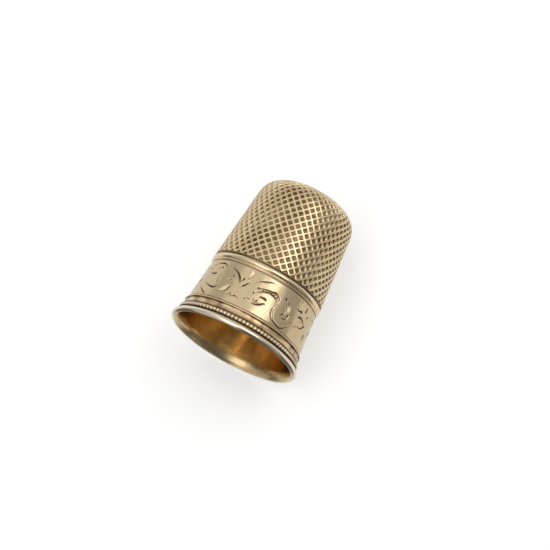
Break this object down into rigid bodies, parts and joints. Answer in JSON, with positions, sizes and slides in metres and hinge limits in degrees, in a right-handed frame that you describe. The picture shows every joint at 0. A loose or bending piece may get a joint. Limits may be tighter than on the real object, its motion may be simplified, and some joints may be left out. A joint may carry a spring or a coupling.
{
  "type": "sewing thimble",
  "caption": "Tapered metal sewing thimble with a pitted wall and domed crown, an engraved scroll band, ring mouldings and a rounded rim.",
  "frame": {"origin": "centre of the mouth, on the plane that the rim stands on", "axes": "+Z along the thimble's axis from the mouth to the crown; -Y is the side of the engraved band that faces the viewer in the picture"},
  "size_m": [0.0184, 0.0184, 0.0236],
  "materials": {
    "bore_gold": "polished deep yellow gold",
    "rim_gold": "polished pale gold, lightly worn",
    "moulding_gold": "soft polished pale gold with dark grooves",
    "cove_gold": "warm rose gold, lightly tarnished",
    "band_gold": "soft polished pale gold with bright-cut engraving",
    "knurl_gold": "pitted pale gold, bright ridges and dark pits"
  },
  "bodies": {
    "root": {"inner_shell": "bore_gold", "rim_ring": "rim_gold", "milled_wire": "moulding_gold", "coved_strip": "cove_gold", "engraved_band": "band_gold", "bead_wire": "moulding_gold", "knurled_wall": "knurl_gold", "knurled_cap": "knurl_gold"}
  },
  "joints": []
}
